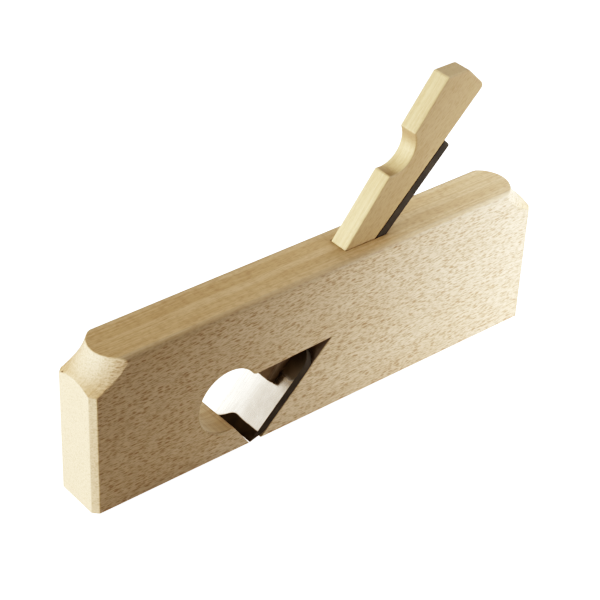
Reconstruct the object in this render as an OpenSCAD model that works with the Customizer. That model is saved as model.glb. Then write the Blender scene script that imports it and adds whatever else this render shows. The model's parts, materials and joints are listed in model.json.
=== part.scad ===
// Wooden rebate plane: a beech stock with a round shaving eye, a full-width iron bedded
// at 45 degrees, and a beech wedge that locks the iron in its mortise.
// X runs from the toe (-X) to the heel (+X), Y across the stock, Z up from the sole.
// The origin is the middle of the sole.

/* [Stock] */
// Length of the stock, toe to heel
stock_l = 280; // [220:1:340]
// Width of the stock
stock_w = 30; // [22:0.5:40]
// Height of the stock, sole to top
stock_h = 85; // [70:1:105]
// Flat chamfer on the four upright corners
end_chamfer = 3; // [1:0.5:4]
// Rounding of the two long top edges
top_round = 3; // [0.5:0.25:4]

/* [Scooped ends] */
// Distance from each end to the axis that the scoop is turned about
scoop_back = 27; // [24:0.5:32]
// Lean of that axis away from the end, in degrees
scoop_tilt = 20; // [12:1:24]
// Radius of the hollow of the scoop
scoop_r = 30.6; // [26:0.2:36]
// Depth below the top, along the axis, of the narrowest place of the scoop
scoop_waist = 4; // [2:0.5:6]
// How far that narrowest place reaches past half of the stock width
scoop_ease = 0.9; // [0.5:0.1:2]

/* [Escapement] */
// Distance from the toe to the cutting edge
mouth_from_toe = 92.7; // [80:0.1:105]
// Angle of the bed and the iron above the sole, in degrees
bed_angle = 45; // [42:1:50]
// Radius of the round shaving eye
eye_r = 18; // [14:0.5:20]
// Height of the middle of the eye above the sole
eye_h = 32; // [30:0.5:34]
// Distance of the middle of the eye in front of the cutting edge
eye_fore = 13.2; // [11:0.1:15]
// Chamfer around the rim of the eye
eye_ease = 0.8; // [0.4:0.1:1.5]
// Gap in the sole between the cutting edge and the throat
mouth_gap = 0.3; // [0.2:0.1:3]
// Slope of the throat above the sole, in degrees
throat_angle = 55; // [50:1:62]
// Height of the cheek slot where it leaves the eye
cheek_h = 41.6; // [40:0.2:44]
// Rise of the cheek slot from the eye to its tip
cheek_rise = 2; // [0:0.2:4]

/* [Iron] */
// Thickness of the iron
iron_t = 4.8; // [3:0.1:6]
// Length of the full-width head, up to where its shoulders begin
head_l = 45.5; // [38:0.5:48]
// Width of the tang
tang_w = 11.2; // [9:0.5:14]
// Length of the tang that stands out above the stock
tang_proud = 59; // [40:1:75]
// Radius of the two corners at the top of the tang
tang_round = 1.5; // [1:0.5:4]
// Grinding angle of the bevel, in degrees
bevel_angle = 28; // [22:1:35]
// Height of the resting edge above the sole
edge_lift = 0.2; // [0.1:0.1:0.5]

/* [Wedge] */
// Distance from the cutting edge to the lower end of the wedge
wedge_start = 30; // [26:0.5:36]
// Thickness of the wedge at its lower end
wedge_tip_t = 5.3; // [4:0.1:7]
// Taper of the wedge, in degrees
wedge_taper = 7; // [6:0.25:8]
// Length of the wedge that stands out above the stock
wedge_proud = 93; // [80:1:110]
// Length of the chamfer across the front top corner, along the wedge
wedge_crown = 9.9; // [6:0.1:12]
// Rounding of the back top corner
wedge_round = 3; // [1:0.5:5]
// Radius of the finger notch
notch_r = 13.5; // [10:0.5:16]
// Depth of the finger notch
notch_depth = 7.3; // [4:0.1:8]
// Distance from the top of the wedge to the middle of the notch
notch_from_top = 54.3; // [45:0.1:60]

/* [Fits] */
// Side clearance of the tang and the wedge in the mortise
side_clearance = 0.4; // [0.2:0.05:0.8]
// How far the sides of the head stand in from the cheeks
head_inset = 0.1; // [0.05:0.05:0.5]
// Clearance between the bed and the back of the iron
bed_clearance = 0.05; // [0.02:0.01:0.2]
// Clearance between the wedge and the front wall of the mortise
abutment_clearance = 0.1; // [0.05:0.05:0.5]
// Clearance between the wedge and the face of the iron
wedge_clearance = 0.05; // [0.02:0.01:0.2]

/* [Hidden] */
$fn = 96;
over = 10;                                     // how far a cutter runs past the wood
half_l = stock_l / 2;
half_w = stock_w / 2;
edge_x = -half_l + mouth_from_toe;             // cutting edge, which is the origin of the bed frame
bed_rise = (stock_h - edge_lift) / sin(bed_angle);  // edge to the top of the stock, along the bed
iron_l = bed_rise + tang_proud;
head_w = stock_w - 2 * head_inset;
shoulder_r = (head_w - tang_w) / 2;
wedge_w = tang_w;
wedge_top = bed_rise + wedge_proud;
mortise_w = tang_w + 2 * side_clearance;
bed_depth = iron_t + bed_clearance;            // bed below the face of the iron
beech = [0.80, 0.66, 0.48];
pale_beech = [0.87, 0.76, 0.58];
steel = [0.36, 0.36, 0.37];

// Thickness of the wedge at a distance s from the cutting edge.
function wedge_t(s) = wedge_tip_t + (s - wedge_start) * tan(wedge_taper);

// X of the bed in the stock at a height z.
function bed_x(z) = edge_x + bed_depth / sin(bed_angle) + (z - edge_lift) / tan(bed_angle);

// Puts a shape into the bed frame: X along the bed, Y across, Z out of the face of the iron.
module on_bed() {
    translate([edge_x, 0, edge_lift]) rotate([0, -bed_angle, 0]) children();
}

// Extrudes an X-Z outline across the stock, centred on it.
module across(width) {
    translate([0, width / 2, 0]) rotate([90, 0, 0]) linear_extrude(height = width) children();
}

// The blank in plan, with its upright corners chamfered.
module stock_plan() {
    difference() {
        square([stock_l, stock_w], center = true);
        for (sx = [-1, 1], sy = [-1, 1]) translate([sx * half_l, sy * half_w])
            rotate(45) square(end_chamfer * sqrt(2), center = true);
    }
}

// The strip that rounding takes off one long top edge.
module edge_round() {
    translate([0, half_w - top_round, stock_h - top_round])
        difference() {
            translate([-half_l - over, 0, 0]) cube([stock_l + 2 * over, top_round + over, top_round + over]);
            rotate([0, 90, 0]) cylinder(h = stock_l + 4 * over, r = top_round, center = true);
        }
}

// What the scoop takes off the heel end: the corner block less a waisted body of revolution.
module scoop() {
    waist_r = half_w + scoop_ease;
    translate([half_l - scoop_back, 0, 0]) difference() {
        translate([0, -stock_w, stock_h - 1.1 * scoop_r])
            cube([scoop_back + over, 2 * stock_w, 1.1 * scoop_r + over]);
        translate([0, 0, stock_h]) rotate([0, -scoop_tilt, 0]) rotate_extrude() difference() {
            translate([0, -3 * scoop_r]) square([waist_r + scoop_r, 5 * scoop_r]);
            translate([waist_r + scoop_r, -scoop_waist]) circle(r = scoop_r);
        }
    }
}

// The round hole through the stock where the shavings curl out, with eased rims.
module eye() {
    translate([edge_x - eye_fore, 0, eye_h]) rotate([90, 0, 0]) {
        cylinder(h = stock_w + 2 * over, r = eye_r, center = true);
        for (side = [0, 1]) mirror([0, 0, side])
            translate([0, 0, half_w - eye_ease])
                cylinder(h = 2 * eye_ease, r1 = eye_r, r2 = eye_r + 2 * eye_ease);
    }
}

// The throat and the cheek slot, open at both sides for the full-width head of the iron.
module cheek_slot() {
    throat_top = eye_h - eye_r / 2;
    mouth_x = edge_x - mouth_gap;
    tip_h = cheek_h + cheek_rise;
    across(stock_w + 2 * over) polygon([
        [mouth_x + over / tan(throat_angle), -over],
        [mouth_x - throat_top / tan(throat_angle), throat_top],
        [edge_x - eye_fore, cheek_h],
        [edge_x, cheek_h],
        [bed_x(tip_h), tip_h],
        [bed_x(-over), -over]
    ]);
}

// The narrow mortise that the tang and the wedge pass through to the top of the stock.
module mortise() {
    start = eye_h / sin(bed_angle);            // inside the cheek slot, below its roof
    end = bed_rise + 3 * over;
    front_gap = abutment_clearance / cos(wedge_taper);
    on_bed() across(mortise_w) polygon([
        [start, -bed_depth],
        [start, wedge_t(start) + front_gap],
        [end, wedge_t(end) + front_gap],
        [end, -bed_depth]
    ]);
}

module stock() {
    color(beech) difference() {
        linear_extrude(height = stock_h) stock_plan();
        for (side = [0, 1]) mirror([0, side, 0]) edge_round();
        for (end = [0, 1]) mirror([end, 0, 0]) scoop();
        eye();
        cheek_slot();
        mortise();
    }
}

// What rounding takes off a square corner that points to +X +Y, its centre at the origin.
module corner_waste(r) {
    difference() {
        square(2 * r);
        circle(r = r);
    }
}

// Outline of the iron seen square to its face, edge at X = 0.
module iron_plan() {
    translate([0, -head_w / 2]) square([head_l, head_w]);
    for (side = [-1, 1]) translate([head_l, side * tang_w / 2]) circle(r = shoulder_r);
    difference() {
        translate([0, -tang_w / 2]) square([iron_l, tang_w]);
        for (side = [0, 1]) mirror([0, side])
            translate([iron_l - tang_round, tang_w / 2 - tang_round]) corner_waste(tang_round);
    }
}

module iron() {
    color(steel) on_bed() difference() {
        translate([0, 0, -iron_t]) linear_extrude(height = iron_t) iron_plan();
        across(stock_w + 2 * over) polygon([
            [-over, 0],
            [0, 0],
            [iron_t / tan(bevel_angle), -iron_t],
            [iron_t / tan(bevel_angle), -iron_t - over],
            [-over, -iron_t - over]
        ]);
    }
}

// Side outline of the wedge: X along the bed, Y its thickness out of the face of the iron.
module wedge_side() {
    notch_s = wedge_top - notch_from_top;
    crown_s = wedge_top - wedge_crown;
    difference() {
        polygon([
            [wedge_start, 0],
            [wedge_start, wedge_t(wedge_start)],
            [crown_s, wedge_t(crown_s)],
            [wedge_top, wedge_t(crown_s) - wedge_crown],
            [wedge_top, 0]
        ]);
        translate([wedge_top - wedge_round, wedge_round]) mirror([0, 1]) corner_waste(wedge_round);
        translate([notch_s, wedge_t(notch_s) - notch_depth + notch_r]) circle(r = notch_r);
    }
}

module wedge() {
    color(pale_beech) on_bed() translate([0, 0, wedge_clearance]) across(wedge_w) wedge_side();
}

stock();
iron();
wedge();
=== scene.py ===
"""A wooden rebate plane: beech stock, full-width steel iron and notched beech wedge.

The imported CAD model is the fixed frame. The stock is a copy of its CAD solid with every edge
eased; the iron and the wedge are swept by Geometry Nodes in the frame of the bed. All lengths
are in metres, X runs from toe to heel, Y across the stock and Z up from the sole.
"""

import json
import logging
import math
from dataclasses import dataclass
from enum import Enum
from typing import Any, Union

import bmesh
import bpy
from mathutils import Matrix, Vector


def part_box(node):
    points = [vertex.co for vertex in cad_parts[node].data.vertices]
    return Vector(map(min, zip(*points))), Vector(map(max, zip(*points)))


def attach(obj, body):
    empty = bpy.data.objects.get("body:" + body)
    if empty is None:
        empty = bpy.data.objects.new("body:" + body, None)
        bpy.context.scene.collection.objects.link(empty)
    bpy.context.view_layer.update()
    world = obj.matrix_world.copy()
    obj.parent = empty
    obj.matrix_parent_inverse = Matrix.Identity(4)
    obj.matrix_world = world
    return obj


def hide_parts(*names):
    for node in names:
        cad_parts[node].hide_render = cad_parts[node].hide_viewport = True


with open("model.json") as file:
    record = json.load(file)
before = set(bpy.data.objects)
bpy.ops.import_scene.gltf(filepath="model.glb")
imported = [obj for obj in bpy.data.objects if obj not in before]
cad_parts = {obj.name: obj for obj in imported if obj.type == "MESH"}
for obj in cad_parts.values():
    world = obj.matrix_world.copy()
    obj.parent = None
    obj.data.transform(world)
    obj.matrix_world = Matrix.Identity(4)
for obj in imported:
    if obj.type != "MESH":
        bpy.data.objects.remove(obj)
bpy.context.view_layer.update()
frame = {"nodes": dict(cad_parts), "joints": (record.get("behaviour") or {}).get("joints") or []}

MM = 0.001
FLAT = 0.6  # faces that turn less than this many degrees are one
SHARP = 28.0  # edges that turn more than this many degrees are eased
WELD = 1e-6  # corners closer than this are one
SQUARE = 0.05  # a part of a normal below this counts as nought
Triple = tuple[float, float, float]
Colour = tuple[float, float, float, float]
log = logging.getLogger("rebate_plane")


class Slot(str, Enum):
    """Material slots of the part's record."""

    STOCK = "stock_beech"
    IRON = "iron_steel"
    WEDGE = "wedge_beech"


class Surface(Enum):
    """How a wooden surface was left, in the order of the stock's material slots."""

    PLANED = 0
    EASED = 1
    SAWN = 2
    BORED = 3


# ---------------------------------------------------------------- node trees as arithmetic


class Field:
    """A number that a node tree works out, combined with ordinary arithmetic."""

    def __init__(self, sheet: "Sheet", socket: bpy.types.NodeSocket) -> None:
        """Wraps an output socket.

        Args:
            sheet: The sheet that the socket's node stands on.
            socket: The output socket that carries the number.
        """
        self.sheet = sheet
        self.socket = socket

    def _math(self, operation: str, *values: "Value") -> "Field":
        """Adds one Math node.

        Args:
            operation: The node's operation.
            values: What goes into its sockets, in order.

        Returns:
            The node's result.
        """
        node = self.sheet.tree.nodes.new("ShaderNodeMath")
        node.operation = operation
        for socket, value in zip(node.inputs, values):
            self.sheet.feed(socket, value)
        return Field(self.sheet, node.outputs[0])

    def __add__(self, other: "Value") -> "Field":
        """The sum."""
        return self._math("ADD", self, other)

    def __sub__(self, other: "Value") -> "Field":
        """The difference."""
        return self._math("SUBTRACT", self, other)

    def __mul__(self, other: "Value") -> "Field":
        """The product."""
        return self._math("MULTIPLY", self, other)

    def __truediv__(self, other: "Value") -> "Field":
        """The quotient."""
        return self._math("DIVIDE", self, other)

    def __rsub__(self, other: "Value") -> "Field":
        """The difference, from a plain number."""
        return self._math("SUBTRACT", other, self)

    __radd__ = __add__
    __rmul__ = __mul__

    def above(self, limit: "Value") -> "Field":
        """One where the number is over the limit, else nought."""
        return self._math("GREATER_THAN", self, limit)

    def at_most(self, limit: "Value") -> "Field":
        """The number, or the limit where that is less."""
        return self._math("MINIMUM", self, limit)

    def at_least(self, limit: "Value") -> "Field":
        """The number, or the limit where that is more."""
        return self._math("MAXIMUM", self, limit)

    def magnitude(self) -> "Field":
        """The number without its sign."""
        return self._math("ABSOLUTE", self)

    def sin(self) -> "Field":
        """The sine of an angle in radians."""
        return self._math("SINE", self)

    def cos(self) -> "Field":
        """The cosine of an angle in radians."""
        return self._math("COSINE", self)

    def acos(self) -> "Field":
        """The angle in radians that has this cosine."""
        return self._math("ARCCOSINE", self)

    def tan(self) -> "Field":
        """The tangent of an angle in radians."""
        return self._math("TANGENT", self)

    def step(self, low: "Value", high: "Value") -> "Field":
        """A soft step.

        Args:
            low: Where the step begins; it may be over high, for a step down.
            high: Where the step ends.

        Returns:
            Nought before the step, one after it, and a smooth change between.
        """
        node = self.sheet.tree.nodes.new("ShaderNodeMapRange")
        node.interpolation_type = "SMOOTHSTEP"
        for name, value in (("Value", self), ("From Min", low), ("From Max", high)):
            self.sheet.feed(node.inputs[name], value)
        return Field(self.sheet, node.outputs["Result"])


Value = Union[Field, float]


class Sheet:
    """Adds nodes to one tree and links them by their sockets' names."""

    def __init__(self, tree: bpy.types.NodeTree) -> None:
        """Starts on a tree that may already hold nodes."""
        self.tree = tree

    def feed(self, socket: bpy.types.NodeSocket, value: Any) -> None:
        """Links a field or a socket to an input, or sets the input's own value.

        Args:
            socket: The input.
            value: A Field, an output socket, or a plain value.
        """
        if isinstance(value, Field):
            self.tree.links.new(value.socket, socket)
        elif isinstance(value, bpy.types.NodeSocket):
            self.tree.links.new(value, socket)
        else:
            socket.default_value = value

    def add(self, kind: str, inputs: dict[str, Any] | None = None, **settings: Any) -> bpy.types.Node:
        """Adds one node.

        Args:
            kind: The node's type.
            inputs: Values, fields or sockets for its inputs, by name.
            settings: Properties of the node itself.

        Returns:
            The node.
        """
        node = self.tree.nodes.new(kind)
        for name, value in settings.items():
            setattr(node, name, value)
        for name, value in (inputs or {}).items():
            self.feed(node.inputs[name], value)
        return node

    def field(self, node: bpy.types.Node, output: str) -> Field:
        """One output of a node, as a field."""
        return Field(self, node.outputs[output])

    def noise(self, vector: Any, pitch: Triple, detail: float = 2.0) -> Field:
        """Smooth noise with its own pitch along each axis.

        Args:
            vector: Coordinates in metres.
            pitch: Size of the noise along X, Y and Z, in millimetres.
            detail: Octaves of finer noise.

        Returns:
            The noise, around a half.
        """
        stretched = self.stretch(vector, pitch)
        node = self.add("ShaderNodeTexNoise", {"Vector": stretched, "Scale": 1.0, "Detail": detail})
        return self.field(node, "Fac")

    def stretch(self, vector: Any, pitch: Triple) -> bpy.types.NodeSocket:
        """Divides coordinates in metres by a pitch in millimetres along each axis."""
        factors = [1 / (p * MM) for p in pitch]
        node = self.add("ShaderNodeVectorMath", operation="MULTIPLY")
        self.feed(node.inputs[0], vector)
        self.feed(node.inputs[1], factors)
        return node.outputs["Vector"]

    def turned(self, vector: Any, angle: float) -> bpy.types.NodeSocket:
        """Turns a vector about Y by an angle in radians."""
        node = self.add("ShaderNodeMapping", {"Vector": vector, "Rotation": (0.0, angle, 0.0)})
        return node.outputs["Vector"]

    def mix(self, share: Value, first: Any, second: Any) -> bpy.types.NodeSocket:
        """Mixes two colours.

        Args:
            share: How much of the second colour shows.
            first: A colour or a colour socket.
            second: A colour or a colour socket.

        Returns:
            The mixed colour's socket.
        """
        return self._blend("MIX", share, first, second)

    def deepen(self, share: Value, colour: Any, shade: Any) -> bpy.types.NodeSocket:
        """Multiplies a colour by a shade.

        Args:
            share: How much of the shade acts.
            colour: A colour or a colour socket.
            shade: A colour or a colour socket.

        Returns:
            The deepened colour's socket.
        """
        return self._blend("MULTIPLY", share, colour, shade)

    def _blend(self, way: str, share: Value, first: Any, second: Any) -> bpy.types.NodeSocket:
        """Adds one Mix node for colours and returns its result."""
        node = self.add("ShaderNodeMix", data_type="RGBA", blend_type=way)
        self.feed(node.inputs[0], share)
        self.feed(node.inputs[6], first)
        self.feed(node.inputs[7], second)
        return node.outputs[2]


def named_sockets(tree: bpy.types.NodeTree, kinds: dict[str, str], way: str = "INPUT") -> None:
    """Adds named sockets to a tree's interface.

    Args:
        tree: The tree.
        kinds: Socket type by name.
        way: INPUT or OUTPUT.
    """
    for name, kind in kinds.items():
        tree.interface.new_socket(name=name, in_out=way, socket_type=kind)


# ---------------------------------------------------------------- finishes


def rgb(red: float, green: float, blue: float) -> Colour:
    """A linear colour with full alpha."""
    return (red, green, blue, 1.0)


class BeechFigure:
    """Shader group for beech: growth stripes, ray flecks, fibres and end grain.

    Its coordinates are turned so that X runs along the grain and Y across the growth rings. Every
    pitch below is the size of a pattern along X, Y and Z, in millimetres.
    """

    NAME = "beech_figure"
    WANDER_PITCH = (38, 16, 9)
    STRIPE_PITCH = (210, 2.1, 60)
    FIBRE_PITCH = (16, 0.3, 0.42)
    CLOUD_PITCH = (46, 30, 15)
    GRIT_PITCH = (3.4, 0.8, 0.62)
    LONG_FLECK_PITCH = (4.2, 12.0, 1.2)
    SHORT_FLECK_PITCH = (2.7, 8.0, 0.75)
    PORE_PITCH = (3.0, 0.5, 0.38)
    END_RAY_PITCH = (8, 3.4, 0.3)
    SAW_PITCH = (0.5, 60, 5)
    WANDER_BY = (0.0, 1.6 * MM, 3.2 * MM)
    GROWTH_SHADE = rgb(0.80, 0.74, 0.65)
    FLECK_SHADE = rgb(0.52, 0.42, 0.33)

    @classmethod
    def tree(cls) -> bpy.types.ShaderNodeTree:
        """Returns the group, building it the first time."""
        return bpy.data.node_groups.get(cls.NAME) or cls._build()

    @classmethod
    def _build(cls) -> bpy.types.ShaderNodeTree:
        """Builds the group.

        Returns:
            The new shader tree.
        """
        tree = bpy.data.node_groups.new(cls.NAME, "ShaderNodeTree")
        named_sockets(tree, {
            "Grain": "NodeSocketVector", "Facing": "NodeSocketVector",
            "Flat": "NodeSocketColor", "Quarter": "NodeSocketColor", "End": "NodeSocketColor",
            "Fleck": "NodeSocketFloat", "Stripe": "NodeSocketFloat", "Sawn": "NodeSocketFloat",
        })
        named_sockets(tree, {"Color": "NodeSocketColor", "Roughness": "NodeSocketFloat",
                             "Height": "NodeSocketFloat"}, "OUTPUT")
        sheet = Sheet(tree)
        given = sheet.add("NodeGroupInput")
        grain = given.outputs["Grain"]
        facing = sheet.add("ShaderNodeSeparateXYZ", {"Vector": given.outputs["Facing"]})
        end = sheet.field(facing, "X").magnitude().step(0.35, 0.92)
        quarter = sheet.field(facing, "Z").magnitude().step(0.4, 0.9)

        bent = cls._bent(sheet, grain)
        stripes = sheet.noise(bent, cls.STRIPE_PITCH, 3.0)
        fibres = sheet.noise(bent, cls.FIBRE_PITCH)
        clouds = sheet.noise(bent, cls.CLOUD_PITCH)
        grit = sheet.noise(bent, cls.GRIT_PITCH).step(0.44, 0.66)
        flecks = cls._flecks(sheet, bent, cls.LONG_FLECK_PITCH, 0.34) * 0.85
        flecks = flecks.at_least(cls._flecks(sheet, bent, cls.SHORT_FLECK_PITCH, 0.30) * 0.6)
        flecks = flecks * (1.0 - quarter * 0.8) * (1.0 - end)
        grit = grit * (1.0 - quarter * 0.45) * (1.0 - end * 0.4)
        pores = cls._pores(sheet, grain) * end
        band = stripes.step(0.36, 0.66) * sheet.field(given, "Stripe")
        saw = sheet.noise(grain, cls.SAW_PITCH, 1.0).step(0.4, 0.7) * sheet.field(given, "Sawn")

        depth = band * (0.3 + 0.7 * quarter) + fibres.step(0.35, 0.75) * 0.4 + clouds.step(0.3, 0.7) * 0.3
        tone = sheet.mix(quarter, given.outputs["Flat"], given.outputs["Quarter"])
        tone = sheet.deepen(depth.at_most(1.0), tone, cls.GROWTH_SHADE)
        tone = sheet.mix(end, tone, given.outputs["End"])
        rays = (flecks + grit * 0.62) * sheet.field(given, "Fleck")
        dark = (rays + pores * 0.3 + saw * 0.4).at_most(1.0)
        colour = sheet.deepen(dark, tone, cls.FLECK_SHADE)

        height = fibres * 0.35 - flecks * 0.5 - pores * 0.6 - saw * 0.8
        rough = 0.5 + flecks * 0.12 + fibres * 0.1 + end * 0.12
        sheet.add("NodeGroupOutput", {"Color": colour, "Roughness": rough, "Height": height})
        return tree

    @classmethod
    def _bent(cls, sheet: Sheet, grain: Any) -> bpy.types.NodeSocket:
        """Bends the coordinates by a slow wander, as real grain bends.

        Args:
            sheet: The sheet to draw on.
            grain: Coordinates along the grain.

        Returns:
            The bent coordinates.
        """
        wander = sheet.add("ShaderNodeTexNoise", {"Vector": sheet.stretch(grain, cls.WANDER_PITCH),
                                                  "Scale": 1.0, "Detail": 1.0})
        shift = sheet.add("ShaderNodeVectorMath", {"Vector": wander.outputs["Color"]}, operation="SUBTRACT")
        shift.inputs[1].default_value = (0.5, 0.5, 0.5)
        bend = sheet.add("ShaderNodeVectorMath", operation="MULTIPLY_ADD")
        sheet.feed(bend.inputs[0], shift.outputs["Vector"])
        bend.inputs[1].default_value = cls.WANDER_BY
        sheet.feed(bend.inputs[2], grain)
        return bend.outputs["Vector"]

    @staticmethod
    def _flecks(sheet: Sheet, grain: Any, pitch: Triple, reach: float) -> Field:
        """Short lens-shaped rays, stretched along the grain.

        Args:
            sheet: The sheet to draw on.
            grain: Coordinates along the grain.
            pitch: Spacing of the flecks along X, Y and Z, in millimetres.
            reach: Size of a fleck as a share of the spacing.

        Returns:
            Up to one inside a fleck, nought outside.
        """
        node = sheet.add("ShaderNodeTexVoronoi", {"Vector": sheet.stretch(grain, pitch), "Scale": 1.0})
        strength = sheet.add("ShaderNodeSeparateColor", {"Color": node.outputs["Color"]})
        inside = sheet.field(node, "Distance").step(reach * 1.45, reach * 0.55)
        return inside * sheet.field(strength, "Red").step(-0.1, 0.6)

    @classmethod
    def _pores(cls, sheet: Sheet, grain: Any) -> Field:
        """Fine dots and short radial lines of end grain.

        Args:
            sheet: The sheet to draw on.
            grain: Coordinates along the grain.

        Returns:
            Up to one in a pore or on a ray, nought between them.
        """
        dots = sheet.stretch(grain, cls.PORE_PITCH)
        node = sheet.add("ShaderNodeTexVoronoi", {"Vector": dots, "Scale": 1.0})
        rays = sheet.noise(grain, cls.END_RAY_PITCH, 1.0).step(0.52, 0.75)
        return (sheet.field(node, "Distance").step(0.45, 0.15) + rays * 0.7).at_most(1.0)


@dataclass(frozen=True)
class Beech:
    """Sanded beech with its grain along one direction of the X-Z plane."""

    name: str
    lean: float = 0.0
    flat: Colour = rgb(0.77, 0.58, 0.365)
    quarter: Colour = rgb(0.70, 0.50, 0.275)
    end: Colour = rgb(0.70, 0.55, 0.355)
    fleck: float = 0.9
    stripe: float = 1.0
    sawn: float = 0.0
    bump: float = 0.25
    painted_shade_from: float = 0.0  # painted shade: along the grain from the origin; dark from here on, away from painted_shade_to
    painted_shade_to: float = 0.0  # unshaded wood at this place; nought for no painted shade
    # colour of the painted shade, standing in for the shade deep in a slot
    painted_shade: Colour = rgb(0.25, 0.27, 0.36)

    def material(self) -> bpy.types.Material:
        """Builds the material.

        Returns:
            Principled wood fed by the figure group.
        """
        material = bpy.data.materials.new(self.name)
        material.use_nodes = True
        sheet = Sheet(material.node_tree)
        shader = material.node_tree.nodes["Principled BSDF"]
        place = sheet.add("ShaderNodeTexCoord")
        grain = sheet.turned(place.outputs["Object"], self.lean)
        facing = sheet.turned(place.outputs["Normal"], self.lean)
        figure = sheet.add("ShaderNodeGroup", node_tree=BeechFigure.tree())
        for name, value in {
            "Grain": grain, "Facing": facing,
            "Flat": self.flat, "Quarter": self.quarter, "End": self.end,
            "Fleck": self.fleck, "Stripe": self.stripe, "Sawn": self.sawn,
        }.items():
            sheet.feed(figure.inputs[name], value)
        bump = sheet.add("ShaderNodeBump", {"Height": figure.outputs["Height"], "Strength": self.bump,
                                            "Distance": 0.15 * MM})
        along = sheet.field(sheet.add("ShaderNodeSeparateXYZ", {"Vector": grain}), "X")
        # painted shade: the wood darkens along the grain, in place of the shade deep in the slot
        painted_shading = along.step(self.painted_shade_to, self.painted_shade_from) if self.painted_shade_to else 0.0
        colour = sheet.deepen(painted_shading, figure.outputs["Color"], self.painted_shade)
        sheet.feed(shader.inputs["Base Color"], colour)
        sheet.feed(shader.inputs["Roughness"], figure.outputs["Roughness"])
        sheet.feed(shader.inputs["Normal"], bump.outputs["Normal"])
        shader.inputs["Specular IOR Level"].default_value = 0.35
        return material


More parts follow.
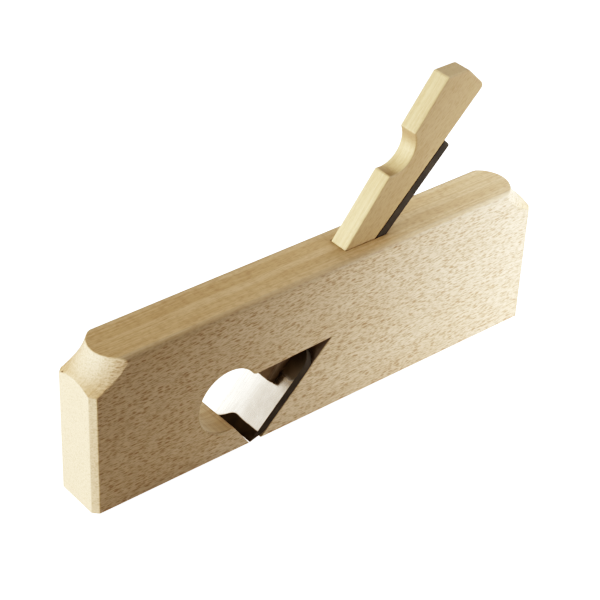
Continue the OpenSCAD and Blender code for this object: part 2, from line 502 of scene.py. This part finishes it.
@dataclass(frozen=True)
class IronSteel:
    """Tool steel: black hardening scale, ground bright on the face behind the edge."""

    edge: Vector
    lean: float
    ground_to: float = 37.4 * MM  # up the bed from the edge, where the bright grinding ends
    ground_wander: float = 5 * MM
    temper_and_sheen_run: float = 16 * MM
    dark_reflection_height: float = 6.5 * MM  # height of the painted shade behind the edge: a dark reflection of the shaded throat, painted on
    dark_reflection_full: float = 3 * MM  # across the face: full height on the near side of this
    dark_reflection_out: float = 13 * MM  # and none on the far side of this
    dark_reflection_wander: float = 2 * MM
    blotch_pitch: Triple = (9, 7, 9)  # pitches up the bed, across and out of the face, in millimetres
    scratch_pitch: Triple = (16, 0.4, 2)
    smudge_pitch: Triple = (14, 10, 10)
    dark_scale: Colour = rgb(0.012, 0.011, 0.009)
    pale_scale: Colour = rgb(0.032, 0.028, 0.020)
    # partly temper colour, partly painted light: lightened to stand in for light reflected onto the face in
    # the slot's shade
    temper_and_sheen: Colour = rgb(0.16, 0.14, 0.105)
    bare: Colour = rgb(0.50, 0.53, 0.55)
    smudged: Colour = rgb(0.34, 0.36, 0.37)
    # painted highlight: near-white steel towards the far side of the ground face
    far_highlight: Colour = rgb(0.88, 0.93, 0.95)
    scratched: Colour = rgb(0.42, 0.42, 0.40)

    def material(self) -> bpy.types.Material:
        """Builds the material.

        Returns:
            Principled steel with scale, a temper band lightened as painted light, grinding marks, a painted
            highlight towards the far side and a painted dark reflection behind the edge.
        """
        material = bpy.data.materials.new("iron_steel_finish")
        material.use_nodes = True
        sheet = Sheet(material.node_tree)
        shader = material.node_tree.nodes["Principled BSDF"]
        bed, facing = self._bed_coordinates(sheet)
        bed_axes = sheet.add("ShaderNodeSeparateXYZ", {"Vector": bed})
        along = sheet.field(bed_axes, "X")
        across = sheet.field(bed_axes, "Y")
        normal = sheet.add("ShaderNodeSeparateXYZ", {"Vector": facing})
        face = sheet.field(normal, "Z").step(0.6, 0.9)
        ground_under = sheet.field(normal, "X").step(-0.2, -0.4)

        blotch = sheet.noise(bed, self.blotch_pitch, 4.0)
        scratches = sheet.noise(bed, self.scratch_pitch, 3.0)
        smudge = sheet.noise(bed, self.smudge_pitch, 3.0)
        ragged = along + (blotch - 0.5) * self.ground_wander
        ground = ragged.step(self.ground_to + 1 * MM, self.ground_to - 1 * MM) * face
        bright = ground.at_least(ground_under)
        # temper band above the ground zone: real temper colour, lightened as painted light where the face
        # lies in the slot's shade
        temper_and_sheen_band = ragged.step(self.ground_to + self.temper_and_sheen_run, self.ground_to) * face * (1.0 - bright)
        # painted shade: the lowest few millimetres of the face are painted dark and not metallic, in place of
        # the dark reflection of the shaded throat; polished_bare is the bright metal outside it
        dark_reflection_top = across.step(self.dark_reflection_out, self.dark_reflection_full) * self.dark_reflection_height
        dark_reflection = along + (smudge - 0.5) * self.dark_reflection_wander
        dark_reflection = dark_reflection.step(dark_reflection_top + 0.5 * MM, dark_reflection_top - 0.3 * MM) * face
        polished_bare = bright * (1.0 - dark_reflection)

        scale = sheet.mix(blotch.step(0.35, 0.7), self.dark_scale, self.pale_scale)
        scale = sheet.mix(temper_and_sheen_band * 0.6, scale, self.temper_and_sheen)
        steel = sheet.mix(smudge.step(0.35, 0.75) * 0.6, self.bare, self.smudged)
        # painted highlight: the steel turns near white towards the far side, in place of the bright
        # reflection there
        steel = sheet.mix(across.step(-8 * MM, 14 * MM) * 0.9, steel, self.far_highlight)
        steel = sheet.mix(scratches.step(0.45, 0.7) * 0.35, steel, self.scratched)
        height = scratches * polished_bare * 0.5 + blotch * (1.0 - polished_bare)
        bump = sheet.add("ShaderNodeBump", {"Height": height, "Strength": 0.2, "Distance": 0.08 * MM})
        sheet.feed(shader.inputs["Base Color"], sheet.mix(polished_bare, scale, steel))
        sheet.feed(shader.inputs["Metallic"], polished_bare)
        sheet.feed(shader.inputs["Roughness"], 0.55 + blotch * 0.2 - polished_bare * 0.45 + scratches * 0.1)
        sheet.feed(shader.inputs["Normal"], bump.outputs["Normal"])
        shader.inputs["Specular IOR Level"].default_value = 0.22
        return material

    def _bed_coordinates(self, sheet: Sheet) -> tuple[bpy.types.NodeSocket, bpy.types.NodeSocket]:
        """Turns place and normal so that X runs up the bed, Y across and Z out of the face.

        Args:
            sheet: The sheet to draw on.

        Returns:
            The place from the cutting edge, and the normal.
        """
        place = sheet.add("ShaderNodeTexCoord")
        centred = sheet.add("ShaderNodeVectorMath", {"Vector": place.outputs["Object"]}, operation="SUBTRACT")
        centred.inputs[1].default_value = self.edge
        bed = sheet.turned(centred.outputs["Vector"], self.lean)
        return bed, sheet.turned(place.outputs["Normal"], self.lean)


# ---------------------------------------------------------------- forms


@dataclass(frozen=True)
class BedFrame:
    """The frame of the iron's bed: X up the bed, Y across, Z out of the iron's face."""

    edge: Vector
    angle: float

    @classmethod
    def of_plane(cls) -> "BedFrame":
        """Reads the bed from the frame: the slide's axis and the iron's lowest corner."""
        axis = next(j for j in frame["joints"] if j["name"] == "iron_slide")["axis"]
        low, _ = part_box("iron")
        return cls(Vector((low.x, 0.0, low.z)), math.atan2(axis[2], axis[0]))


class FormTree:
    """A Geometry Nodes tree that sweeps a four-sided bar, row by row, along the bed.

    A row has corners 0 to 4, the last over the first. The first and the last row each shrink to
    a point and close an end; the corners of row 1 are the bar's lower end.
    """

    SIDES = 4

    def __init__(self, name: str, rows: int) -> None:
        """Starts the tree.

        Args:
            name: The tree's name.
            rows: How many rows of corners the bar has, its two end caps included.
        """
        self.tree = bpy.data.node_groups.new(name, "GeometryNodeTree")
        named_sockets(self.tree, {"Geometry": "NodeSocketGeometry"}, "OUTPUT")
        named_sockets(self.tree, {"Edge": "NodeSocketVector", "Bed angle": "NodeSocketFloat",
                                  "Material": "NodeSocketMaterial"})
        self.sheet = Sheet(self.tree)
        self.rows = rows
        self.values: dict[str, Any] = {}
        self.given = self.sheet.add("NodeGroupInput")
        grid = self.sheet.add("GeometryNodeMeshGrid", {
            "Size X": float(rows - 1), "Size Y": float(self.SIDES),
            "Vertices X": rows, "Vertices Y": self.SIDES + 1})
        self.grid = grid.outputs["Mesh"]
        place = self.sheet.add("ShaderNodeSeparateXYZ",
                               {"Vector": self.sheet.add("GeometryNodeInputPosition").outputs[0]})
        self.row = self.sheet.field(place, "X") + (rows - 1) / 2
        self.corner = self.sheet.field(place, "Y") + self.SIDES / 2

    def size(self, name: str, value: float) -> Field:
        """Adds a named input.

        Args:
            name: The input's name.
            value: What this piece sets it to.

        Returns:
            The input as a field.
        """
        named_sockets(self.tree, {name: "NodeSocketFloat"})
        self.values[name] = value
        return self.sheet.field(self.given, name)

    def ramp(self, first: int, last: int) -> Field:
        """Rises from nought at one row to one at another and stays there."""
        node = self.sheet.add("ShaderNodeMapRange", {"Value": self.row, "From Min": float(first),
                                                     "From Max": float(last)})
        return self.sheet.field(node, "Result")

    def finish(self, along: Field, half: Value, under: Value, over: Value) -> None:
        """Puts every corner in its place and closes the bar.

        Args:
            along: Distance of each row up the bed.
            half: Half the width at each row.
            under: Height of the underside above the iron's face.
            over: Height of the upper side above the iron's face.
        """
        sheet, row, corner = self.sheet, self.row, self.corner
        left = corner.above(0.5) - corner.above(2.5)
        top = corner.above(1.5) - corner.above(3.5)
        spread = row.above(0.5) - row.above(self.rows - 1.5)
        middle = (under + over) * 0.5
        across = half * (1.0 - left * 2.0) * spread
        height = middle + (over - under) * (top - 0.5) * spread
        point = sheet.add("ShaderNodeCombineXYZ", {"X": along, "Y": across, "Z": height})
        shaped = sheet.add("GeometryNodeSetPosition", {"Geometry": self.grid, "Position": point.outputs[0]})
        closed = sheet.add("GeometryNodeMergeByDistance", {"Geometry": shaped.outputs[0], "Distance": WELD})
        turn = sheet.add("ShaderNodeCombineXYZ", {"Y": 0.0 - sheet.field(self.given, "Bed angle")})
        placed = sheet.add("GeometryNodeTransform", {
            "Geometry": closed.outputs[0], "Translation": self.given.outputs["Edge"],
            "Rotation": turn.outputs[0]})
        real = sheet.add("GeometryNodeRealizeInstances", {"Geometry": placed.outputs[0]})
        dressed = sheet.add("GeometryNodeSetMaterial", {
            "Geometry": real.outputs[0], "Material": self.given.outputs["Material"]})
        sheet.add("NodeGroupOutput", {"Geometry": dressed.outputs[0]})

    def piece(self, name: str, bed: BedFrame, material: bpy.types.Material) -> bpy.types.Object:
        """Runs the tree and keeps its result as a plain mesh.

        Args:
            name: The new object's name.
            bed: Where the bed is.
            material: The bar's material.

        Returns:
            The finished object, without modifiers.
        """
        host = bpy.data.objects.new(name, bpy.data.meshes.new(name))
        bpy.context.scene.collection.objects.link(host)
        modifier = host.modifiers.new("form", "NODES")
        modifier.node_group = self.tree
        given = {"Edge": bed.edge, "Bed angle": bed.angle, "Material": material, **self.values}
        for item in self.tree.interface.items_tree:
            if item.in_out == "INPUT":
                modifier[item.identifier] = given[item.name]
        evaluated = host.evaluated_get(bpy.context.evaluated_depsgraph_get())
        mesh = bpy.data.meshes.new_from_object(evaluated)
        host.modifiers.remove(modifier)
        host.data = mesh
        mesh.name = name
        mesh.materials.clear()
        mesh.materials.append(material)
        shape = bmesh.new()
        shape.from_mesh(mesh)
        merge_flat(shape)
        shape.to_mesh(mesh)
        shape.free()
        return host


def merge_flat(shape: bmesh.types.BMesh) -> None:
    """Merges doubled corners and the faces that lie in one plane.

    Args:
        shape: The mesh to clean.
    """
    bmesh.ops.remove_doubles(shape, verts=shape.verts, dist=WELD)
    bmesh.ops.dissolve_limit(shape, angle_limit=math.radians(FLAT), verts=shape.verts, edges=shape.edges)


def ease_edges(piece: bpy.types.Object, width: float, edge_slot: int = -1, segments: int = 3) -> None:
    """Rounds every sharp edge a little and keeps flat faces flat in the shading.

    Args:
        piece: The object to finish.
        width: Width of the rounding, in metres.
        edge_slot: Material slot of the rounded strips, or -1 for that of the faces beside them.
        segments: Facets across a rounding.
    """
    bevel = piece.modifiers.new("eased_edges", "BEVEL")
    bevel.width = width
    bevel.segments = segments
    bevel.limit_method = "ANGLE"
    bevel.angle_limit = math.radians(SHARP)
    bevel.use_clamp_overlap = False
    bevel.material = edge_slot
    for polygon in piece.data.polygons:
        polygon.use_smooth = True
    normals = piece.modifiers.new("flat_faces", "WEIGHTED_NORMAL")
    normals.keep_sharp = True


@dataclass
class Stock:
    """The beech body: a merged copy of the CAD solid with eased edges."""

    ease: float = 0.45 * MM
    wall_depth: float = 0.5 * MM  # how far in from the outside the sawn walls begin
    top_round: float = 3 * MM
    eye_fore: float = 13.2 * MM  # from the cutting edge forward to the eye's centre
    eye_height: float = 32 * MM
    eye_radius: float = 18 * MM
    eye_margin: float = 3 * MM  # how far past its radius a corner of the eye's wall may lie

    def build(self) -> bpy.types.Object:
        """Builds and dresses the stock.

        Returns:
            The finished piece.
        """
        source = frame["nodes"]["stock"]
        shape = bmesh.new()
        shape.from_mesh(source.data)
        merge_flat(shape)
        self._sort_surfaces(shape)
        mesh = bpy.data.meshes.new("stock_body")
        shape.to_mesh(mesh)
        shape.free()
        piece = bpy.data.objects.new("stock_body", mesh)
        bpy.context.scene.collection.objects.link(piece)
        for finish in self.finishes():
            mesh.materials.append(finish.material())
        # the eased strips take the eased finish, darker as painted shade
        ease_edges(piece, self.ease, Surface.EASED.value)
        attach(piece, "stock")
        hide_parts("stock")
        return piece

    def finishes(self) -> list[Beech]:
        """The stock's finishes, in the order of Surface."""
        # painted shade: the eased strips and rounded top edges are darker than the planed faces, so that no
        # bright highlight shows where two lit faces meet
        edge_shade = rgb(0.66, 0.49, 0.29)
        # partly painted light: the sawn and bored walls are paler than the planed wood, partly as unfinished
        # wood and partly to stand in for light reaching into the eye and onto the slot's roof
        fresh_and_lit = rgb(0.95, 0.75, 0.48)
        pale = rgb(0.97, 0.80, 0.54)
        return [
            Beech("beech_planed"),
            Beech("beech_eased", flat=edge_shade, quarter=edge_shade, fleck=0.7),
            # painted shade: the slot's roof darkens past the eye, where it lies in the shadow of the light
            # entering through the eye
            Beech("beech_sawn", flat=fresh_and_lit, quarter=fresh_and_lit, end=fresh_and_lit, sawn=0.3, fleck=0.3,
                  painted_shade_from=-33 * MM, painted_shade_to=-36 * MM),
            Beech("beech_bored", flat=pale, quarter=pale, end=rgb(0.95, 0.78, 0.52), sawn=1.0, fleck=0.2),
        ]

    def _sort_surfaces(self, shape: bmesh.types.BMesh) -> None:
        """Gives the rounded top edges, the wall of the eye and the sawn walls their own finishes.

        Args:
            shape: The stock's mesh.
        """
        low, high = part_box("stock")
        edge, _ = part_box("iron")
        eye = Vector((edge.x - self.eye_fore, 0.0, self.eye_height))
        fore_side = eye.x - self.eye_radius - self.eye_margin
        heel_side = high.x / 2
        for face in shape.faces:
            centre = face.calc_center_median()
            turned = min(abs(face.normal.y), face.normal.z) > SQUARE > abs(face.normal.x)
            # the rounded top edges take the eased finish, darker as painted shade
            if turned and centre.z > high.z - self.top_round:
                face.material_index = Surface.EASED.value
                continue
            walled = abs(centre.y) < high.y - self.wall_depth
            inside = low.z + self.wall_depth < centre.z < high.z - self.wall_depth
            between = all(fore_side < v.co.x < heel_side for v in face.verts)
            if walled and inside and between:
                reach = max(math.hypot(v.co.x - eye.x, v.co.z - eye.z) for v in face.verts)
                bored = reach < self.eye_radius + self.eye_margin  # the slot's faces reach further
                face.material_index = (Surface.BORED if bored else Surface.SAWN).value


@dataclass
class Iron:
    """The full-width iron with rounded shoulders and a narrow tang."""

    bed: BedFrame
    thickness: float = 4.8 * MM
    head: float = 45.5 * MM
    tang: float = 11.2 * MM
    corner: float = 1.5 * MM
    bevel: float = math.radians(28)
    land: float = 0.05 * MM
    ease: float = 0.15 * MM
    shoulder_rows: int = 14
    corner_rows: int = 7

    def build(self) -> bpy.types.Object:
        """Builds and dresses the iron.

        Returns:
            The finished piece.
        """
        low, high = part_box("iron")
        width = high.y - low.y
        length = (high.z - low.z) / math.sin(self.bed.angle)
        first = 3
        tang_row = first + self.shoulder_rows
        corner_row = tang_row + 1
        last = corner_row + self.corner_rows
        form = FormTree("iron_form", last + 2)
        width_in = form.size("Width", width)
        length_in = form.size("Length", length)
        head_in = form.size("Head length", self.head)
        tang_in = form.size("Tang width", self.tang)
        corner_in = form.size("Corner radius", self.corner)
        thick_in = form.size("Thickness", self.thickness)
        bevel_in = form.size("Bevel angle", self.bevel)
        land_in = form.size("Edge land", self.land)

        # Row 1 is the edge, row 2 the end of the ground bevel and row 3 the start of the shoulders.
        quarter = math.pi / 2
        shoulder = (width_in - tang_in) * 0.5
        turn = form.ramp(first, tang_row) * quarter
        nip = form.ramp(corner_row, last) * quarter
        bevel_run = (thick_in - land_in) / bevel_in.tan()
        along = (
            form.ramp(1, 2) * bevel_run
            + form.ramp(2, first) * (head_in - bevel_run)
            + turn.sin() * shoulder
            + form.ramp(tang_row, corner_row) * (length_in - corner_in - head_in - shoulder)
            + nip.sin() * corner_in
        )
        half = width_in * 0.5 - (1.0 - turn.cos()) * shoulder - (1.0 - nip.cos()) * corner_in
        under = 0.0 - land_in - form.ramp(1, 2) * (thick_in - land_in)
        form.finish(along, half, under, 0.0)
        steel = IronSteel(self.bed.edge, self.bed.angle)
        piece = form.piece("iron_body", self.bed, steel.material())
        ease_edges(piece, self.ease)
        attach(piece, "iron")
        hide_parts("iron")
        return piece


@dataclass
class Wedge:
    """The tapered wedge with its finger notch and chamfered crown."""

    bed: BedFrame
    start: float = 30 * MM
    clearance: float = 0.05 * MM
    tip: float = 5.3 * MM
    taper: float = math.radians(7)
    crown: float = 9.9 * MM
    heel_round: float = 3 * MM
    notch_radius: float = 13.5 * MM
    notch_depth: float = 7.3 * MM
    notch_from_top: float = 54.3 * MM
    ease: float = 1.0 * MM
    notch_rows: int = 22
    round_rows: int = 6

    def build(self) -> bpy.types.Object:
        """Builds and dresses the wedge.

        Returns:
            The finished piece.
        """
        low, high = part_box("wedge")
        top = self._top(high.z - self.bed.edge.z)
        first = 2
        notch_end = first + self.notch_rows
        crown_row = notch_end + 1
        round_row = crown_row + 1
        last = round_row + self.round_rows
        form = FormTree("wedge_form", last + 2)
        width_in = form.size("Width", high.y - low.y)
        start_in = form.size("Start", self.start)
        top_in = form.size("Top", top)
        tip_in = form.size("Tip thickness", self.tip)
        taper_in = form.size("Taper", self.taper)
        crown_in = form.size("Crown", self.crown)
        round_in = form.size("Heel rounding", self.heel_round)
        radius_in = form.size("Notch radius", self.notch_radius)
        depth_in = form.size("Notch depth", self.notch_depth)
        notch_in = form.size("Notch from top", self.notch_from_top)
        lift_in = form.size("Clearance", self.clearance)

        slope = taper_in.tan()
        notch = top_in - notch_in
        crown_at = top_in - crown_in
        # The notch is an arc; it meets the tapered face at equal angles either side of its normal.
        open_angle = ((radius_in - depth_in) * taper_in.cos() / radius_in).acos()
        swing = taper_in + open_angle * (form.ramp(first, notch_end) * 2.0 - 1.0)
        swing_from = taper_in - open_angle
        swing_to = taper_in + open_angle
        fall = form.ramp(round_row, last) * (math.pi / 2)
        along = (
            start_in
            + form.ramp(1, first) * (notch + radius_in * swing_from.sin() - start_in)
            + radius_in * (swing.sin() - swing_from.sin())
            + form.ramp(notch_end, crown_row) * (crown_at - notch - radius_in * swing_to.sin())
            + form.ramp(crown_row, round_row) * (crown_in - round_in)
            + fall.sin() * round_in
        )
        straight = tip_in + (along - start_in) * slope
        crown_height = tip_in + (crown_at - start_in) * slope
        tapered = straight.at_most(crown_height - (along - crown_at))
        cup = tip_in + (notch - start_in) * slope - depth_in + radius_in * (1.0 - swing.cos())
        inside = form.row.above(first - 0.5) - form.row.above(notch_end + 0.5)
        over = tapered + (cup - tapered) * inside + lift_in
        under = (1.0 - fall.cos()) * round_in + lift_in
        form.finish(along, width_in * 0.5, under, over)
        piece = form.piece("wedge_body", self.bed, self.finish().material())
        ease_edges(piece, self.ease, segments=4)
        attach(piece, "wedge")
        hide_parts("wedge")
        return piece

    def finish(self) -> Beech:
        """The wedge's beech with painted light: its face paler and its cheeks and end grain darker, in place
        of the light on its face and the shade on its cheeks in the slot, and painted shade on its lower end.
        """
        # painted light: pale face (quarter), dark cheeks (flat) and end grain; painted shade on the lower end
        # inside the stock
        return Beech("beech_wedge", lean=self.bed.angle, flat=rgb(0.49, 0.33, 0.155),
                     quarter=rgb(0.90, 0.72, 0.41), end=rgb(0.45, 0.31, 0.16), fleck=0.3, stripe=0.5,
                     painted_shade_from=10 * MM, painted_shade_to=26 * MM)

    def _top(self, rise: float) -> float:
        """Works out where the wedge ends.

        Args:
            rise: Height of the crown's upper corner above the cutting edge.

        Returns:
            Distance from the cutting edge to the end of the wedge, up the bed.
        """
        level = math.cos(self.bed.angle)
        slope = math.tan(self.taper)
        face = self.clearance + self.tip - self.start * slope
        return (rise - face * level) / (math.sin(self.bed.angle) + slope * level) + self.crown


# ---------------------------------------------------------------- studio


@dataclass(frozen=True)
class Softbox:
    """A square area light that looks at a point."""

    name: str
    place: Vector
    aim: Vector
    side: float
    power: float
    tint: Triple
    spread: float = math.pi

    def build(self) -> bpy.types.Object:
        """Builds the light.

        Returns:
            The light object.
        """
        data = bpy.data.lights.new(self.name, "AREA")
        data.size = self.side
        data.energy = self.power
        data.color = self.tint
        data.spread = self.spread
        lamp = bpy.data.objects.new(self.name, data)
        bpy.context.scene.collection.objects.link(lamp)
        lamp.location = self.place
        lamp.rotation_euler = (self.aim - self.place).to_track_quat("-Z", "Y").to_euler()
        return lamp


@dataclass
class Studio:
    """Pale floor, soft lights and the camera."""

    azimuth: float = math.radians(-40.59)
    elevation: float = math.radians(35.17)
    roll: float = math.radians(2.765)
    distance: float = 1.0
    aim: Vector = Vector((20.4 * MM, 31.1 * MM, 32.6 * MM))
    lens: float = 114.98
    floor_side: float = 12.0
    floor_drop: float = 0.1 * MM
    floor_glow: float = 1.0
    floor_tint: Colour = rgb(0.55, 0.53, 0.50)
    shoulder: float = 0.6
    contrast: Triple = (1.08, 1.2, 1.32)
    curve_steps: int = 9
    fill: Colour = rgb(0.04, 0.04, 0.04)

    def build(self) -> None:
        """Builds the floor, the world, the lights and the camera."""
        self._floor()
        self._world()
        for light in self._lights():
            light.build()
        self._camera()
        self._develop()

    def _develop(self) -> None:
        """Sets the tone curves: a soft shoulder that pales bright wood, and warm shadows."""
        settings = bpy.context.scene.view_settings
        settings.view_transform = "Standard"
        settings.look = "None"
        settings.use_curve_mapping = True
        red, green, blue, master = settings.curve_mapping.curves
        for step in range(1, self.curve_steps):
            light = (step / self.curve_steps) ** 2
            master.points.new(light, (1 + self.shoulder) * light / (light + self.shoulder))
            for curve, power in zip((red, green, blue), self.contrast):
                curve.points.new(light, light ** power)
        settings.curve_mapping.update()

    def _floor(self) -> None:
        """Lays a pale floor a hair below the sole, so that the two never share a plane."""
        low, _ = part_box("stock")
        half = self.floor_side / 2
        level = low.z - self.floor_drop
        mesh = bpy.data.meshes.new("floor")
        corners = ((-half, -half), (half, -half), (half, half), (-half, half))
        mesh.from_pydata([(x, y, level) for x, y in corners], [], [(0, 1, 2, 3)])
        floor = bpy.data.objects.new("floor", mesh)
        bpy.context.scene.collection.objects.link(floor)
        material = bpy.data.materials.new("floor_white")
        material.use_nodes = True
        sheet = Sheet(material.node_tree)
        shader = material.node_tree.nodes["Principled BSDF"]
        shader.inputs["Base Color"].default_value = self.floor_tint
        shader.inputs["Roughness"].default_value = 0.9
        shader.inputs["Emission Color"].default_value = rgb(1.0, 1.0, 1.0)
        sheet.feed(shader.inputs["Emission Strength"], self._seen(sheet) * self.floor_glow)
        mesh.materials.append(material)

    def _world(self) -> None:
        """Hangs a white backdrop that lights the plane with a dim fill."""
        world = bpy.data.worlds.new("studio")
        world.use_nodes = True
        sheet = Sheet(world.node_tree)
        background = world.node_tree.nodes["Background"]
        sheet.feed(background.inputs["Color"], sheet.mix(self._seen(sheet), self.fill, rgb(1.0, 1.0, 1.0)))
        background.inputs["Strength"].default_value = 1.0
        bpy.context.scene.world = world

    @staticmethod
    def _seen(sheet: Sheet) -> Field:
        """One where the stage is seen by the camera itself, nought where it lights the plane."""
        return sheet.field(sheet.add("ShaderNodeLightPath"), "Is Camera Ray")

    def _lights(self) -> list[Softbox]:
        """The studio's lights, in metres and watts."""
        return [
            Softbox("left_softbox", place=Vector((-0.9, 0.08, 0.24)), aim=Vector((-0.14, 0.0, 0.05)),
                    side=0.4, power=2.1, tint=(0.93, 1.06, 1.18), spread=math.radians(90)),
            Softbox("right_softbox", place=Vector((0.36, -0.34, 0.16)), aim=Vector((0.27, 0.0, 0.03)),
                    side=0.22, power=0.94, tint=(0.87, 1.05, 1.31), spread=math.radians(85)),
            Softbox("top_softbox", place=Vector((0.45, 0.10, 0.45)), aim=Vector((0.15, 0.0, 0.08)),
                    side=0.2, power=0.21, tint=(0.83, 1.0, 1.19), spread=math.radians(60)),
            Softbox("rear_softbox", place=Vector((-0.70, 0.75, 0.65)), aim=Vector((0.0, 0.0, 0.05)),
                    side=0.6, power=1.45, tint=(1.10, 1.0, 0.87)),
        ]

    def _camera(self) -> None:
        """Sets the camera, looking down at the near side from the toe."""
        data = bpy.data.cameras.new("camera")
        data.sensor_width = 36.0
        data.lens = self.lens
        data.clip_start = 0.01
        camera = bpy.data.objects.new("camera", data)
        bpy.context.scene.collection.objects.link(camera)
        ahead = Vector((-math.sin(self.azimuth) * math.cos(self.elevation),
                        math.cos(self.azimuth) * math.cos(self.elevation),
                        -math.sin(self.elevation)))
        turn = ahead.to_track_quat("-Z", "Y").to_matrix().to_4x4()
        camera.matrix_world = (Matrix.Translation(self.aim - ahead * self.distance)
                               @ turn @ Matrix.Rotation(self.roll, 4, "Z"))
        bpy.context.scene.camera = camera


def main() -> None:
    """Builds the plane and the studio around it."""
    logging.basicConfig(level=logging.INFO, format="%(name)s: %(message)s")
    bed = BedFrame.of_plane()
    for part in (Stock(), Iron(bed), Wedge(bed)):
        piece = part.build()
        log.info("%s: %d vertices, %d faces", piece.name, len(piece.data.vertices), len(piece.data.polygons))
    Studio().build()


if __name__ == "__main__":
    main()
